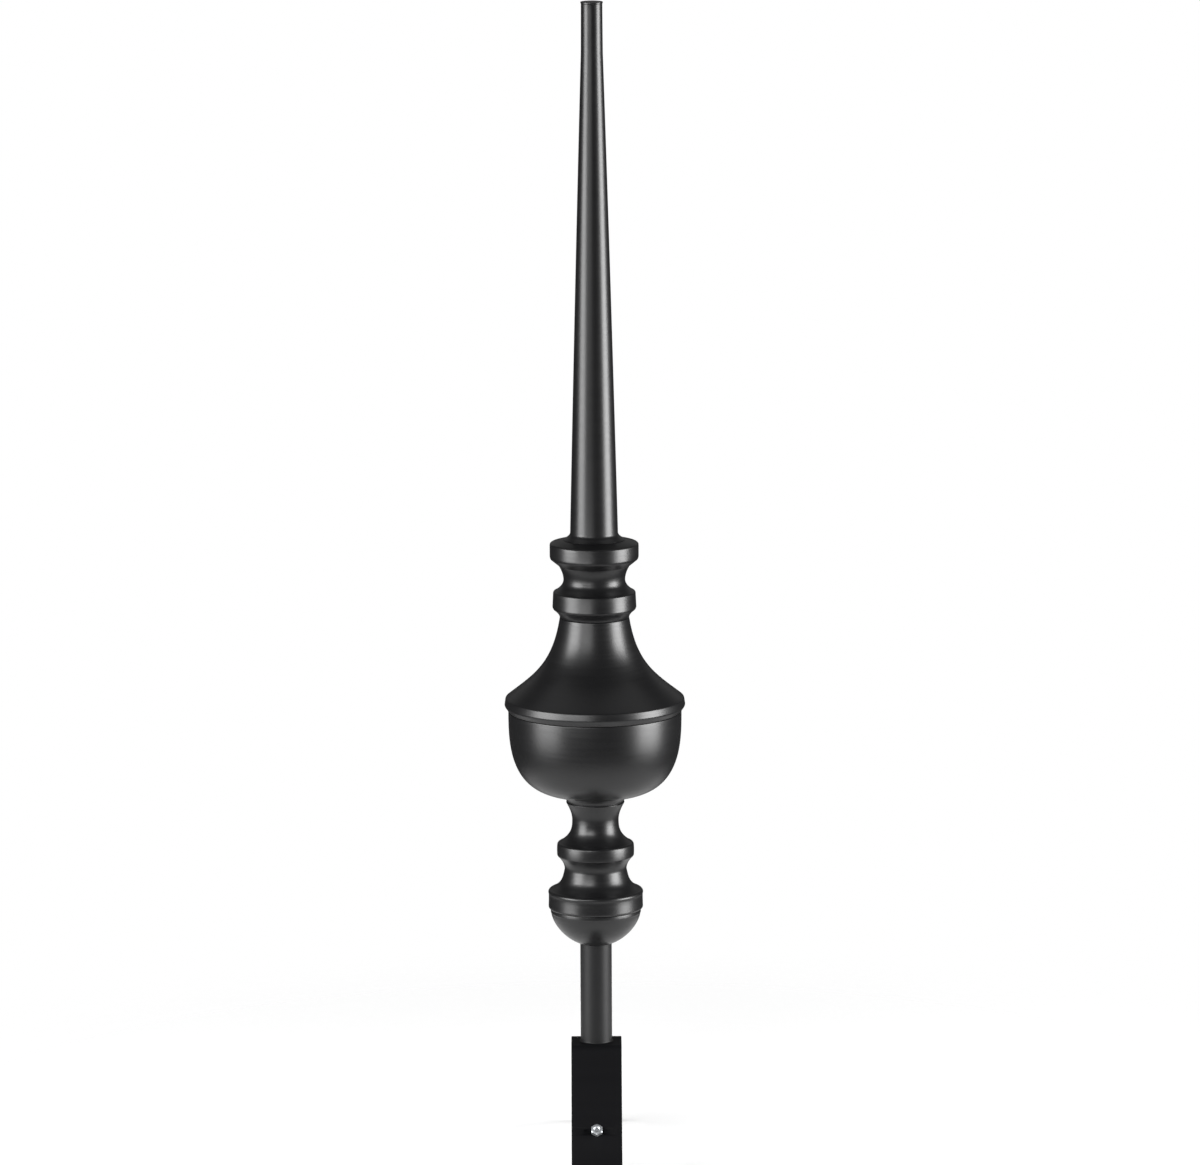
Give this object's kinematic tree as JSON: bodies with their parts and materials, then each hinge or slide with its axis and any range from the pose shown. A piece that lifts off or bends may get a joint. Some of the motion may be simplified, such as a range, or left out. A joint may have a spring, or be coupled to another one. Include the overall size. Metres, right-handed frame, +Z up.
{
  "type": "roof finial",
  "caption": "Satin-black spun-metal roof finial: tapering spire, ringed collar, bell-and-bowl bulb and turned baluster on a short mast, welded to a strap saddle for the ridge.",
  "frame": {"origin": "middle of the saddle crown's flat underside, where it bears on the ridge", "axes": "+Z up along the mast and spire, +X along the ridge, -Y towards the front leg"},
  "size_m": [0.1816, 0.278, 1.176],
  "materials": {
    "satin_black": "satin powder coat on spun aluminium",
    "strap_black": "flat black paint on steel strap",
    "zinc_plate": "bright zinc plating"
  },
  "bodies": {
    "root": {"saddle": "strap_black", "mast": "satin_black", "base_cup": "satin_black", "baluster": "satin_black", "bowl": "satin_black", "bell": "satin_black", "collar": "satin_black", "spire": "satin_black", "lag_screw_front": "zinc_plate", "lag_screw_back": "zinc_plate"}
  },
  "joints": []
}
